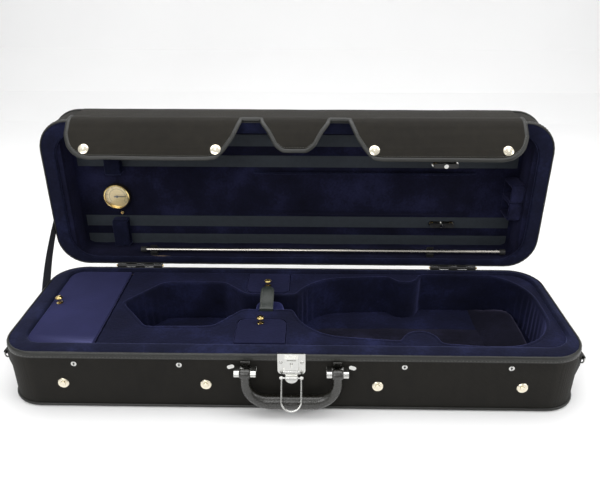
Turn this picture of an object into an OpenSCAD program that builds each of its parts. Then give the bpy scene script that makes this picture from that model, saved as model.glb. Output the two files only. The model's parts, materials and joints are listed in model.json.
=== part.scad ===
// Oblong violin case, standing open: a rectangular two-part case with a fitted foam bed,
// lined lid, lock, folding handle and a front weather flap.
// Frame: X along the case, -Y to the front, +Z up. Origin: centre of the base's underside.
// The lid is drawn closed on the base and turned open about the hinge line.

/* [Case] */
// Length of the case along X
case_length = 790; // [770:1:820]
// Depth of the case, front to back
case_depth = 243; // [240:1:252]
// Height of the base, to the top of its vinyl edge
base_height = 89.5; // [86:0.5:94]
// Thickness of the lid, rim to top
lid_height = 69.5; // [66:0.5:80]
// Radius of the four upright corners
corner_radius = 48; // [44:1:52]
// Thickness of the wooden walls
wall = 10; // [8:0.5:11]
// Thickness of the canvas skin
skin = 2; // [1:0.25:3]

/* [Bed] */
// Height of the foam bed's top face
bed_top = 85; // [84.5:0.1:85.5]
// Height of the cavity floor
floor_top = 20; // [16:1:26]
// Thickness of the compartment lids
lid_board = 4; // [3.6:0.1:4.2]
// Radius of the pads at the violin's waist
waist_pad_r = 27; // [22:1:28]

/* [Lid fittings] */
// Diameter of the string tube
tube_d = 6.5; // [6:0.1:7]
// Length of the string tube
tube_length = 592; // [560:2:594]
// Diameter of the hygrometer
hygrometer_d = 45; // [40:1:48]

/* [Front hardware] */
// Width of the lock plate
lock_width = 37; // [34:1:40]
// Half the distance between the handle's two pivots
handle_half_span = 61; // [58:1:64]
// Radius of the handle's grip
grip_r = 10.2; // [9:0.1:10.4]
// Length of the lock's wire bail, pivot to tip
bail_length = 45; // [42:1:47]
// Half length of the weather flap
flap_half = 339; // [320:1:342]

/* [Hidden] */
$fn = 48;

half_l = case_length / 2;
half_d = case_depth / 2;
front = -half_d;
sheet_t = 1.5;
binding_h = 8.5;
binding_w = 9;
shell_top = base_height - binding_h;
board_t = 8;
rim_top = base_height - 0.5;

// The tray: the opening inside the velvet rim, and the bed that fills it
tray = [-369, 381, -96, 110];
tray_r_left = 24;
tray_r_right = 36;
bed_gap = 0.5;

// Hinge line, and the closed lid's levels
hinge_off = 2.6;
hinge_y = half_d + hinge_off;
hinge_z = base_height + 1;
hinge_x = 262;
leaf_l = 76;
knuckle_r = 2.4;
pin_r = 1.15;
lid_z0 = hinge_z + 0.5;
lid_z1 = hinge_z + lid_height;
lid_rim_t = 7;
panel_z = lid_z1 - 16.5;
lid_rim_in = [-373, 373, -103, 110];
lid_in = [-365, 365, -102, 109];
lid_in_r = 16;

// Compartment boards: [x0, x1, y0, y1], hinge level and knob place
board_z = bed_top + 0.5;
board_axis_z = board_z - lid_board / 2;
big_board = [-368.5, -272, -95.5, 109.5];
front_board = [-80, -10, -90, -29];
rear_board = [-76, -9, 46, 106];
big_knob = [-356, 10];
front_knob = [-47, -40];
rear_knob = [-43, 67];
board_gap = 0.6;

// Front hardware
lock_z0 = 60;
lock_z1 = 92.5;
lock_t = 2;
lever_y = front - lock_t - 2.5;
lever_z = 66;
bail_y = lever_y - 4;
bail_z = lever_z - 7.5;
bail_half = 13.2;
wire_r = 1.3;
bail_tilt = 30;
handle_y = front - 13;
handle_z = 68;
grip_drop = 46;
bend_r = 31;
snap_x = [310, 116];
snap_z = 40;
rivet_x = [291, 150];
rivet_z = 72;
ring_y = -69;
ring_z = 57;
ring_r = 11;
ring_out = 11;
ring_profile = [[0, 24], [5, 26], [9, 44], [11, 58], [8, 63.5], [0, 63.5]];

// Flap: the fold line in closed-lid coordinates, and the drooping profile in front of it
fold_y = front - 4.1;
fold_z = lid_z0 + 10.5;
fold_r = 1.5;
flap_t = 2.4;
flap_path = [[-2, 0], [-12, 0], [-20, -3], [-33, -14.5], [-46, -28.5], [-60.5, -46]];
flap_y = hinge_y + fold_z - hinge_z;
flap_z = hinge_z + hinge_y - fold_y;
snap_along = 0.42;
flap_corner = [38, 28];

// String tube, on the lid's hinge-side wall
clip_t = 1.5;
clip_foot = 7.4;
clip_turn = 60;
tube_y = lid_in[3] - clip_foot;
tube_z = 106.4;
tube_x0 = -252;
clip_x = [-239, 224];
cap_plug = 6;
cap_l = 9;
cap_r = 4.6;

// Bow fittings
spinner_at = [[242, -39.4], [246, 66]];
spinner_post = 12.4;
hygro_at = [-300, 18.6];
band_y = [-87, -52, 55, 89];
band_w = 20;
band_t = 0.8;

// ---------------------------------------------------------------- helpers

// Rounded rectangle between two pairs of limits
module slab2d(b, r) {
    translate([b[0] + r, b[2]]) square([b[1] - b[0] - 2 * r, b[3] - b[2]]);
    translate([b[0], b[2] + r]) square([b[1] - b[0], b[3] - b[2] - 2 * r]);
    for (x = [b[0] + r, b[1] - r], y = [b[2] + r, b[3] - r])
        translate([x, y]) circle(r, $fn = 96);
}

// The opening inside the base's rim, tighter at its left corners
module tray2d(gap) {
    b = tray + gap * [1, -1, 1, -1];
    slab2d([b[0], 0, b[2], b[3]], tray_r_left - gap);
    slab2d([-100, b[1], b[2], b[3]], tray_r_right - gap);
}

// The case's outline, a distance inside its outer face
module outline(inset) {
    slab2d([-half_l + inset, half_l - inset, -half_d + inset, half_d - inset],
        corner_radius - inset);
}

module layer(z0, z1) {
    translate([0, 0, z0]) linear_extrude(z1 - z0) children();
}

module box3(b, z0, z1) {
    translate([b[0], b[2], z0]) cube([b[1] - b[0], b[3] - b[2], z1 - z0]);
}

// Cylinder along X, centred on a point
module rod_x(c, r, l) {
    translate(c) rotate([0, 90, 0]) cylinder(r = r, h = l, center = true);
}

// Cylinder towards the front, from a point
module stud_y(c, r, l) {
    translate(c) rotate([90, 0, 0]) cylinder(r = r, h = l);
}

// Profile in the Y-Z plane, extruded along X
module prism_x(x0, x1) {
    translate([x0, 0, 0]) rotate([90, 0, 90]) linear_extrude(x1 - x0) children();
}

// Turns a piece drawn on the closed lid to the open lid
module open_lid() {
    translate([0, hinge_y, hinge_z]) rotate([-90, 0, 0]) translate([0, -hinge_y, -hinge_z])
        children();
}

function unit(v) = v / norm(v);
function normal(a, b) = let(u = unit(b - a)) [-u[1], u[0]];
function path_normal(p, i) = let(n = len(p) - 1)
    i == 0 ? normal(p[0], p[1])
    : i == n ? normal(p[n - 1], p[n])
    : unit(normal(p[i - 1], p[i]) + normal(p[i], p[i + 1]));
// A strip of thickness t along a path
function strip(p, t) = concat(
    [for (i = [0:len(p) - 1]) p[i] + path_normal(p, i) * t / 2],
    [for (i = [len(p) - 1:-1:0]) p[i] - path_normal(p, i) * t / 2]);

// ---------------------------------------------------------------- base

module base_bottom_sheet() {
    color("#26241f") layer(0, sheet_t) outline(skin + 1);
}

module base_shell() {
    color("#6b5539") difference() {
        layer(sheet_t, shell_top) outline(skin);
        layer(sheet_t + board_t, shell_top + 1) outline(skin + wall);
    }
}

module base_cover() {
    color("#35322d") layer(0.6, shell_top) difference() {
        outline(0);
        outline(skin);
    }
}

module base_top_binding() {
    color("#3f4238") layer(shell_top, base_height) difference() {
        outline(0);
        outline(binding_w);
    }
}

module base_rim() {
    color("#171a35") layer(shell_top, rim_top) difference() {
        outline(binding_w);
        tray2d(0);
    }
}

// Violin-shaped opening: body, neck slot and head well
module violin2d() {
    translate([82, 10]) circle(83, $fn = 128);
    slab2d([200, 368, -91, 111], 80);
    polygon([[82, -73], [205, -85], [262, -91], [288, -91], [288, 111], [262, 111],
        [205, 107], [150, 98], [82, 93]]);
    polygon([[-259, 12], [-211, -50], [-116, -48], [-77, -2], [4, -2], [4, 39], [-77, 39],
        [-115, 75], [-210, 73]]);
}

module bed_inside2d() {
    intersection() {
        violin2d();
        translate([-300, -94]) square([700, 202]);
    }
}

module board_recess(b) {
    box3([b[0] - board_gap, b[1] + board_gap, b[2] - board_gap, b[3] + board_gap],
        board_z - lid_board - 0.3, bed_top + 1);
}

// One foam block: ledge under the rim, raised bed inside it, wells and compartments
module foam_bed() {
    bottom = sheet_t + board_t;
    color("#1b1e3c") difference() {
        union() {
            layer(bottom, shell_top) outline(skin + wall);
            layer(shell_top, bed_top) tray2d(bed_gap);
        }
        layer(bottom - 1, bed_top + 1) bed_inside2d();
        box3([-400, big_board[1] + lid_board / 2 + board_gap, tray[2], tray[3]],
            board_z - lid_board - 0.3, bed_top + 1);
        board_recess([front_board[0], front_board[1], front_board[2] - lid_board / 2,
            front_board[3]]);
        board_recess([rear_board[0], rear_board[1], rear_board[2],
            rear_board[3] + lid_board / 2]);
        box3([-358, -284, -84, 98], 16, bed_top);
        box3([-72, -18, -80, -38], 30, bed_top);
        box3([-68, -17, 54, 98], 30, bed_top);
    }
}

module cavity_floor() {
    color("#191c38") layer(sheet_t + board_t, floor_top) bed_inside2d();
}

// Wedge under the lower end of the violin
module end_pad() {
    color("#24263f") intersection() {
        translate([0, 200, 0]) rotate([90, 0, 0]) linear_extrude(400)
            polygon([[292, floor_top], [350, floor_top], [350, 42], [340, 42]]);
        layer(0, bed_top) slab2d([210, 360, -84, 102], 74);
    }
}

// Upright half-round pads on both sides of the waist
module cbout_pads() {
    color("#202450") layer(floor_top, bed_top) intersection() {
        bed_inside2d();
        union() {
            translate([178, -82]) circle(waist_pad_r);
            translate([178, 107]) circle(waist_pad_r);
        }
    }
}

module neck_pillow() {
    color("#343a78") difference() {
        box3([-62, -15, -1.5, 38.5], floor_top, 80);
        rod_x([-38, 18.5, 100], 25, 60);
    }
}

module compartment_lid() {
    c = 22;
    b = big_board;
    color("#363a63") union() {
        layer(board_z - lid_board, board_z) polygon([[b[1], b[2]], [b[1], b[3]],
            [b[0] + c, b[3]], [b[0], b[3] - c], [b[0], b[2] + c], [b[0] + c, b[2]]]);
        translate([b[1], b[2], board_axis_z]) rotate([-90, 0, 0])
            cylinder(r = lid_board / 2, h = b[3] - b[2]);
    }
}

module front_box_lid() {
    c = 12;
    b = front_board;
    color("#23264a") union() {
        layer(board_z - lid_board, board_z) polygon([[b[0], b[2]], [b[1], b[2]],
            [b[1], b[3] - c], [b[1] - c, b[3]], [b[0] + c, b[3]], [b[0], b[3] - c]]);
        rod_x([(b[0] + b[1]) / 2, b[2], board_axis_z], lid_board / 2, b[1] - b[0]);
    }
}

module rear_box_lid() {
    c = 12;
    b = rear_board;
    color("#23264a") union() {
        layer(board_z - lid_board, board_z) polygon([[b[0], b[3]], [b[1], b[3]],
            [b[1], b[2] + c], [b[1] - c, b[2]], [b[0] + c, b[2]], [b[0], b[2] + c]]);
        rod_x([(b[0] + b[1]) / 2, b[3], board_axis_z], lid_board / 2, b[1] - b[0]);
    }
}

module knob(at) {
    color("#c9a44a") translate([at[0], at[1], board_z]) rotate_extrude()
        polygon([[0, 0], [5, 0], [5, 1], [2.2, 2], [1.9, 6], [3.4, 7.4], [5.5, 8.4], [5.5, 9.6],
            [4, 11.2], [0, 12]]);
}

module compartment_knob() { knob(big_knob); }
module front_box_knob() { knob(front_knob); }
module rear_box_knob() { knob(rear_knob); }

// Strap over the neck: a curl at its root and a springy tongue
module neck_strap() {
    root = [-5.6, bed_top + 2.2];
    color("#2e362f") union() {
        rod_x([-41, root[0], root[1]], 1.8, 20);
        prism_x(-51, -31) polygon(strip([root, root + [7, 3], root + [20, 8],
            root + [34, 12.5], root + [42, 14]], 1.6));
    }
}

// Butt-hinge leaf: plate on the rear wall, and the knuckles named by their numbers
module leaf(knuckles) {
    n = 5;
    k = leaf_l / n;
    for (s = [-1, 1]) translate([s * hinge_x, 0, 0]) difference() {
        union() {
            box3([-leaf_l / 2, leaf_l / 2, half_d, half_d + 1.4], hinge_z - 26, hinge_z - 3);
            for (i = knuckles) {
                x0 = -leaf_l / 2 + i * k + 0.15;
                box3([x0, x0 + k - 0.3, half_d + 0.2, half_d + 1.4], hinge_z - 4, hinge_z);
                rod_x([x0 + k / 2 - 0.15, hinge_y, hinge_z], knuckle_r, k - 0.3);
            }
        }
        rod_x([0, hinge_y, hinge_z], pin_r + 0.05, leaf_l + 2);
        for (x = [-26, 0, 26]) translate([x, half_d - 1, hinge_z - 16]) rotate([-90, 0, 0])
            cylinder(r = 1.6, h = 4);
    }
}

module hinge_base_leaves() {
    color("#1d1d1c") leaf([0, 2, 4]);
}

module hinge_lid_leaves() {
    color("#1d1d1c") open_lid() translate([0, 0, hinge_z]) mirror([0, 0, 1])
        translate([0, 0, -hinge_z]) leaf([1, 3]);
}

module hinge_pins() {
    color("#c9a44a") for (s = [-1, 1]) {
        rod_x([s * hinge_x, hinge_y, hinge_z], pin_r, leaf_l + 1);
        for (e = [-1, 1])
            rod_x([s * hinge_x + e * (leaf_l / 2 + 0.9), hinge_y, hinge_z], 1.9, 1);
    }
}

// Lock plate with two lugs for the lever
module lock_plate() {
    r = 6;
    w = lock_width / 2;
    color("#d5d7d6") difference() {
        union() {
            translate([0, front, 0]) rotate([90, 0, 0]) linear_extrude(lock_t) {
                translate([-w + r, lock_z0]) square([2 * (w - r), lock_z1 - lock_z0]);
                translate([-w, lock_z0 + r]) square([2 * w, lock_z1 - lock_z0 - r]);
                for (s = [-1, 1]) translate([s * (w - r), lock_z0 + r]) circle(r);
            }
            for (s = [-1, 1]) {
                rod_x([s * 9.9, lever_y, lever_z], 2.5, 2);
                box3([s * 9.9 - 1, s * 9.9 + 1, lever_y, front - 1], lever_z - 2.5,
                    lever_z + 2.5);
            }
        }
        rod_x([0, lever_y, lever_z], 1.25, 30);
    }
}

module lock_cover() {
    y0 = front - lock_t;
    color("#e3e4e2") difference() {
        box3([-9.2, 9.2, y0 - 4.5, y0], 69, 88);
        stud_y([0, y0 - 1.5, 80], 2, 5);
        box3([-0.8, 0.8, y0 - 6, y0 - 1.5], 73.5, 80);
        box3([-6, 6, y0 - 6, y0 - 2.5], 84.6, 86.2);
    }
}

module lock_screws() {
    color("#c4c6c5") for (s = [-1, 1])
        translate([s * 14, front - lock_t, 79]) rotate([90, 0, 0]) rotate_extrude()
            polygon([[0, 0], [2.3, 0], [1.9, 0.8], [1, 1.2], [0, 1.3]]);
}

// Thumb lever: barrel with trunnions, tongue, and the bail's knuckle
module lock_lever() {
    color("#dcdedd") difference() {
        union() {
            rod_x([0, lever_y, lever_z], 2.4, 17.4);
            rod_x([0, lever_y, lever_z], 1.2, 21.6);
            translate([0, lever_y + 1.2, 0]) rotate([90, 0, 0]) linear_extrude(2.4) {
                translate([-8.5, 56]) square([17, lever_z - 56]);
                translate([0, 56]) circle(8.5);
            }
            rod_x([0, bail_y, bail_z], 2.5, 15);
            box3([-7.5, 7.5, bail_y, lever_y], bail_z - 2.2, bail_z + 2.2);
        }
        rod_x([0, bail_y, bail_z], wire_r + 0.05, 40);
        box3([-30, 30, front - lock_t + 0.2, front + 5], 40, 80);
    }
}

module bail_pin() {
    color("#d5d7d6") union() {
        rod_x([0, bail_y, bail_z], wire_r, 29.6);
        for (s = [-1, 1]) rod_x([s * 15.3, bail_y, bail_z], 1.7, 1);
    }
}

// Wire loop that hooks over the lid's catch
module lock_bail() {
    bend = bail_length - wire_r - bail_half;
    color("#e3e4e2") translate([0, bail_y, bail_z]) rotate([-bail_tilt, 0, 0]) difference() {
        union() {
            for (s = [-1, 1]) {
                rod_x([s * bail_half, 0, 0], 2.6, 2.6);
                translate([s * bail_half, 0, -bend]) cylinder(r = wire_r, h = bend - 1.4);
            }
            translate([0, 0, -bend]) rotate([90, 0, 0]) rotate([0, 0, 180])
                rotate_extrude(angle = 180) translate([bail_half, 0]) circle(wire_r, $fn = 24);
        }
        rod_x([0, 0, 0], wire_r + 0.06, 40);
    }
}

// Two ears on a wall plate, with an oval rosette beside them
module handle_brackets() {
    color("#d5d7d6") for (s = [-1, 1]) {
        x = s * handle_half_span;
        difference() {
            union() {
                box3([x - 14.5, x + 14.5, front - 1.8, front], 63, 72);
                box3([x - 6, x + 6, front - 1.8, front], 71, 80);
                for (e = [-1, 1]) {
                    rod_x([x + e * 11, handle_y, handle_z], 4.8, 6.8);
                    box3([x + e * 11 - 3.4, x + e * 11 + 3.4, handle_y, front - 1],
                        handle_z - 4.8, handle_z + 4.8);
                }
            }
            rod_x([x, handle_y, handle_z], 2.05, 40);
            box3([x - 3.4, x + 3.4, front - 3, front + 1], 74, 77);
        }
        translate([s * (handle_half_span + 20), front, 71]) rotate([90, s * 20, 0])
            linear_extrude(2) slab2d([-5, 5, -3, 3], 2.9);
    }
}

module handle_pins() {
    color("#c4c6c5") for (s = [-1, 1])
        rod_x([s * handle_half_span, handle_y, handle_z], 2, 29);
}

// Grip: a padded bar, two bends and two legs that end in barrels
module handle_grip() {
    z = handle_z - grip_drop;
    x = handle_half_span - bend_r;
    leg_z = z + bend_r;
    color("#1c1b19") difference() {
        union() {
            rod_x([0, handle_y, z], grip_r, 2 * x);
            for (s = [-1, 1]) {
                translate([s * x, handle_y, leg_z]) rotate([90, 0, 0])
                    rotate([0, 0, s > 0 ? 270 : 180]) rotate_extrude(angle = 90)
                        translate([bend_r, 0]) circle(8);
                translate([s * handle_half_span, handle_y, leg_z])
                    cylinder(r = 6.6, h = handle_z - leg_z);
                rod_x([s * handle_half_span, handle_y, handle_z], 6.6, 14.6);
            }
        }
        for (s = [-1, 1]) rod_x([s * handle_half_span, handle_y, handle_z], 2.08, 30);
    }
}

module snap_sockets() {
    color("#e6e6e2") for (s = [-1, 1], x = snap_x)
        translate([s * x, front, snap_z]) rotate([90, 0, 0]) rotate_extrude()
            polygon([[0, 0], [7.75, 0], [7.75, 1], [7, 1.8], [5.2, 1.4], [3.6, 1.4],
                [3.2, 3], [0, 3.2]]);
}

module side_rivets() {
    color("#b9bab4") for (s = [-1, 1], x = rivet_x)
        translate([s * x, front, rivet_z]) rotate([90, 0, 0]) rotate_extrude()
            polygon([[1.4, 0], [4, 0], [3.8, 0.8], [2.6, 1.2], [1.4, 0.8]]);
}

// Stiff tab that stands out from each end wall and ends in a loop, with its ring
module ring_tab(s) {
    difference() {
        translate([s * half_l, ring_y, 0]) rotate([90, 0, 0])
            linear_extrude(15, center = true) union() {
                polygon([for (p = ring_profile) [s * p[0], p[1]]]);
                translate([s * ring_out, ring_z]) circle(3);
            }
        translate([s * (half_l + ring_out), ring_y, ring_z]) rotate([90, 0, 0])
            cylinder(r = 1.25, h = 40, center = true);
    }
}

module ring(s) {
    translate([s * (half_l + ring_out), ring_y, ring_z]) union() {
        rotate([90, 0, 0]) cylinder(r = 1.2, h = 2 * ring_r, center = true);
        rotate([90, 0, 90]) rotate([0, 0, 180]) rotate_extrude(angle = 180)
            translate([ring_r, 0]) circle(1.2, $fn = 24);
        for (e = [-1, 1]) translate([0, e * ring_r, 0]) sphere(1.2, $fn = 24);
    }
}

module d_ring_tabs() { color("#1c1b19") for (s = [-1, 1]) ring_tab(s); }
module d_ring_left() { color("#e3e4e2") ring(-1); }
module d_ring_right() { color("#e3e4e2") ring(1); }

// Ribbon that stops the lid, outside the left wall
module stay_ribbon() {
    color("#20203a") translate([-half_l - 1.9, 0, 0]) prism_x(0, 1.5)
        polygon(strip([[50, 74], [60, 88], [128, 156], [142, 166]], 15));
}

// ---------------------------------------------------------------- lid

module lid_shell() {
    color("#6b5539") open_lid() difference() {
        layer(lid_z0 + lid_rim_t, lid_z1 - sheet_t) outline(skin);
        layer(lid_z0, lid_z1 - sheet_t - 9) outline(skin + wall);
    }
}

module lid_cover() {
    color("#35322d") open_lid() difference() {
        layer(lid_z0, lid_z1) outline(0);
        layer(lid_z0 - 1, lid_z1 - sheet_t) outline(skin);
    }
}

module lid_rim() {
    color("#171a35") open_lid() layer(lid_z0 + 0.5, lid_z0 + lid_rim_t) difference() {
        outline(skin);
        slab2d(lid_rim_in, 40);
    }
}

module bands2d() {
    for (y = band_y) translate([lid_in[0] + 1, y]) square([lid_in[1] - lid_in[0] - 2, band_w]);
}

// Padded lining: walls and back panel, with shallow seats for the bands
module lid_lining() {
    color("#1c1e33") open_lid() difference() {
        layer(lid_z0 + lid_rim_t, lid_z1 - sheet_t - 9) outline(skin + wall);
        layer(lid_z0, panel_z) slab2d(lid_in, lid_in_r);
        layer(panel_z - 1, panel_z + band_t) intersection() {
            bands2d();
            slab2d(lid_in, lid_in_r);
        }
    }
}

module bow_bands() {
    color("#2f3740") open_lid() layer(panel_z, panel_z + band_t) intersection() {
        bands2d();
        slab2d(lid_in, lid_in_r);
    }
}

// Flat pocket, open along its top edge
module music_pocket() {
    color("#1a1c31") open_lid() difference() {
        box3([-73, 295, -25, 52], panel_z - 7.5, panel_z);
        box3([-69, 291, -26, 48], panel_z - 5.2, panel_z + 1);
    }
}

// Hoods that hold the two bow frogs
module frog_hood(y0, y1) {
    difference() {
        box3([-312, -286, y0, y1], panel_z - 18, panel_z);
        box3([-308, -285, y0 + 5, y1 - 5], panel_z - 14, panel_z + 1);
    }
}

module frog_holders() {
    color("#1a1c33") open_lid() {
        frog_hood(53, 107);
        frog_hood(-99, -22);
    }
}

// Block on the right wall with a socket for each bow's head
module bow_tip_block() {
    color("#1a1c33") open_lid() difference() {
        box3([343, lid_in[1], -17, 43], panel_z - 42, panel_z);
        for (y = [-12, 22]) box3([342, 358, y, y + 16], panel_z - 32, panel_z - 10);
    }
}

// Dog-bone plate with the post its spinner turns on
module spinner_plate(at) {
    z = panel_z;
    translate([at[0], at[1], 0]) union() {
        layer(z - 1.6, z) {
            translate([-21.5 + 5, -4]) square([33, 8]);
            for (s = [-1, 1]) translate([s * 16.5, 0]) circle(5);
        }
        translate([0, 0, z - spinner_post]) cylinder(r = 2, h = spinner_post - 1);
        translate([0, 0, z - spinner_post - 1.4]) cylinder(r = 3.6, h = 1.4);
    }
}

module spinner_plates() {
    color("#c9cac8") open_lid() for (p = spinner_at) spinner_plate(p);
}

module spinner(at) {
    z = panel_z - spinner_post + 0.2;
    color("#1b1b1b") open_lid() translate([at[0], at[1], 0]) difference() {
        layer(z, z + 4) union() {
            translate([-17, -3.5]) square([34, 7]);
            for (s = [-1, 1]) translate([s * 17, 0]) circle(3.5);
        }
        translate([0, 0, z - 1]) cylinder(r = 2.05, h = 8);
    }
}

module spinner_upper() { spinner(spinner_at[0]); }
module spinner_lower() { spinner(spinner_at[1]); }

// Screws through the spinner plates and the stud by the frog holder
module lid_screws() {
    heads = [for (p = spinner_at, s = [-1, 1]) [p[0] + s * 16.5, p[1], panel_z - 1.6]];
    color("#c9a44a") open_lid() {
        for (h = heads) translate(h - [0, 0, 1.5]) cylinder(r1 = 2, r2 = 3, h = 1.5);
        translate([-296, 48.6, panel_z - 5]) cylinder(r = 2.6, h = 5);
    }
}

module hygrometer_case() {
    r = hygrometer_d / 2;
    color("#c9a44a") open_lid() translate([hygro_at[0], hygro_at[1], panel_z])
        mirror([0, 0, 1]) difference() {
            rotate_extrude() polygon([[0, 0], [r - 1.5, 0], [r, 3], [r, 6], [r - 1.2, 10.5],
                [r - 3, 11], [r - 3, 5], [0, 5]]);
        }
}

module hygrometer_dial() {
    color("#e9e4d2") open_lid() translate([hygro_at[0], hygro_at[1], panel_z - 6])
        difference() {
            cylinder(r = hygrometer_d / 2 - 3.1, h = 0.9);
            translate([0, 0, -1]) cylinder(r = 1.05, h = 3);
        }
}

module hygrometer_glass() {
    color([0.85, 0.9, 0.92, 0.35]) open_lid()
        translate([hygro_at[0], hygro_at[1], panel_z - 10.3])
            cylinder(r = hygrometer_d / 2 - 3.1, h = 1.2);
}

module hygrometer_needle() {
    color("#1b1b1b") open_lid() translate([hygro_at[0], hygro_at[1], panel_z - 7.9]) union() {
        translate([0, 0, 0.2]) cylinder(r = 1, h = 2.4);
        cylinder(r = 1.9, h = 0.8);
        linear_extrude(0.8) polygon([[-5, -0.9], [-5, 0.9], [15.5, 0.25], [15.5, -0.25]]);
    }
}

// Spring clips for the string tube: a foot on the wall and a mouth that opens forward
module tube_clips() {
    r = tube_d / 2 + 0.1;
    color("#1b1b1b") open_lid() for (x = clip_x) prism_x(x - 5.5, x + 5.5)
        translate([tube_y, tube_z]) difference() {
            union() {
                circle(r + clip_t);
                translate([0, -3]) square([clip_foot, 6]);
                translate([clip_foot - 1.2, -7]) square([1.2, 14]);
                rotate([0, 0, clip_turn]) {
                    translate([-r, -r - clip_t]) square([r, 2 * (r + clip_t)]);
                    for (s = [-1, 1]) translate([-r, s * (r + 0.5 * clip_t)])
                        rotate([0, 0, s * -48]) translate([-3.5, -0.6]) square([4.1, 1.2]);
                }
            }
            circle(r);
            rotate([0, 0, clip_turn]) translate([-r - 9, -r]) square([r + 9, 2 * r]);
        }
}

module string_tube() {
    x = tube_x0 + tube_length / 2;
    color("#c8c4bb") open_lid() difference() {
        rod_x([x, tube_y, tube_z], tube_d / 2, tube_length);
        rod_x([x, tube_y, tube_z], tube_d / 2 - 0.65, tube_length + 2);
    }
}

module tube_cap(x, s) {
    color("#161616") open_lid() union() {
        rod_x([x + s * cap_l / 2, tube_y, tube_z], cap_r, cap_l);
        rod_x([x - s * cap_plug / 2, tube_y, tube_z], tube_d / 2 - 0.7, cap_plug);
    }
}

module tube_cap_left() { tube_cap(tube_x0, -1); }
module tube_cap_right() { tube_cap(tube_x0 + tube_length, 1); }

// Keeper on the lid's front edge, under the flap
module lid_catch() {
    color("#d5d7d6") open_lid() {
        box3([-10, 10, front - 1, front], lid_z0 + 2, lid_z0 + 8);
        box3([-8, 8, front - 2.4, front - 1], lid_z0 + 5, lid_z0 + 7);
    }
}

// Sewn strip of the flap, on the lid's front wall
module flap_root() {
    color("#34302d") open_lid()
        box3([-flap_half, flap_half, front - 3, front], fold_z + fold_r + 0.3, lid_z1 - 4);
}

// Fold line of the flap
module flap_fold_strip() {
    color("#3f4238") rod_x([0, flap_y, flap_z], fold_r, 2 * flap_half - 4);
}

// Opening in the flap for a handle post, as seen from the front
module notch2d() {
    polygon([[126, 250], [106, 304], [93, 320], [84, 336], [84, 362], [48, 362], [48, 336],
        [38, 326], [28, 311], [17, 304], [-1, 304], [-1, 250]]);
}

// What the flap's rounded lower corner leaves out, as seen from the front
module corner2d() {
    drop = flap_path[len(flap_path) - 1][1];
    at = [flap_half - flap_corner[0], flap_z + drop + flap_corner[1]];
    translate(at) difference() {
        translate([0, -2 * flap_corner[1]]) square([flap_corner[0] + 5, 2 * flap_corner[1]]);
        scale(flap_corner) circle(1, $fn = 96);
    }
}

module flap_panel() {
    color("#34302d") difference() {
        translate([0, flap_y, flap_z]) prism_x(-flap_half, flap_half)
            polygon(strip(flap_path, flap_t));
        for (m = [0, 1]) mirror([m, 0, 0]) translate([0, flap_y - 8, 0]) rotate([90, 0, 0])
            linear_extrude(80) {
                notch2d();
                corner2d();
            }
    }
}

module flap_snaps() {
    n = len(flap_path) - 1;
    a = flap_path[n - 1];
    b = flap_path[n];
    p = a + (b - a) * snap_along;
    tilt = atan2(b[1] - a[1], b[0] - a[0]) + 180;
    color("#e6e6e2") for (s = [-1, 1], x = snap_x)
        translate([s * x, flap_y + p[0], flap_z + p[1]]) rotate([tilt, 0, 0])
            translate([0, 0, flap_t / 2]) rotate_extrude()
                polygon([[0, 0], [8, 0], [7.6, 1.2], [5, 1.9], [0, 2.2]]);
}

base_bottom_sheet();
base_shell();
base_cover();
base_top_binding();
base_rim();
foam_bed();
cavity_floor();
end_pad();
cbout_pads();
neck_pillow();
hinge_base_leaves();
hinge_pins();
lock_plate();
lock_cover();
lock_screws();
handle_brackets();
handle_pins();
snap_sockets();
side_rivets();
d_ring_tabs();
stay_ribbon();
lid_shell();
lid_cover();
lid_rim();
lid_lining();
bow_bands();
music_pocket();
frog_holders();
bow_tip_block();
spinner_plates();
lid_screws();
hygrometer_case();
hygrometer_dial();
hygrometer_glass();
tube_clips();
hinge_lid_leaves();
lid_catch();
flap_root();
flap_fold_strip();
flap_panel();
flap_snaps();
compartment_lid();
front_box_lid();
rear_box_lid();
compartment_knob();
front_box_knob();
rear_box_knob();
neck_strap();
handle_grip();
lock_lever();
bail_pin();
lock_bail();
spinner_upper();
spinner_lower();
hygrometer_needle();
string_tube();
tube_cap_left();
tube_cap_right();
d_ring_left();
d_ring_right();
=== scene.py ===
"""Looks of an oblong violin case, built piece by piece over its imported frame.

Shapes are drawn in millimetres. Pieces of the lid are drawn on the closed lid and
opened about the lid's hinge, as the frame stands.
"""
import json
import math

import bmesh
import bpy
from mathutils import Matrix, Vector, noise


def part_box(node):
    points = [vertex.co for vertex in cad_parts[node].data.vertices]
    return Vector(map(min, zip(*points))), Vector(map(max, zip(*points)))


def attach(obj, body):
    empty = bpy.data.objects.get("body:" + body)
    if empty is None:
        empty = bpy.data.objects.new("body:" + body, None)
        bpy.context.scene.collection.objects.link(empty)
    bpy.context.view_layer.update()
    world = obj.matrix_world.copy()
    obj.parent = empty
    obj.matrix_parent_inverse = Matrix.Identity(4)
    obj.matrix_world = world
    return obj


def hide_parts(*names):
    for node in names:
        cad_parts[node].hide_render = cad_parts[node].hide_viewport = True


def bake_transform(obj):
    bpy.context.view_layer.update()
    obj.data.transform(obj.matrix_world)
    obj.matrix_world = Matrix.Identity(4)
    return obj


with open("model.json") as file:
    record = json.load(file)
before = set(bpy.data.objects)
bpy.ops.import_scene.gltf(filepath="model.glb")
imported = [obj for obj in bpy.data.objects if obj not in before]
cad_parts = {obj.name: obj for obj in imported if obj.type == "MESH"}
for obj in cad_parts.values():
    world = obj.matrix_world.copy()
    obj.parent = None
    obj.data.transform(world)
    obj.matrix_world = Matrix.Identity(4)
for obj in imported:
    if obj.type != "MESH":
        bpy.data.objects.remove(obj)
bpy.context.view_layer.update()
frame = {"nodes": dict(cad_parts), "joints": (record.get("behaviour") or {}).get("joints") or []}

MM = 0.001
JOINTS = {joint["name"]: joint for joint in frame["joints"]}


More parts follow.
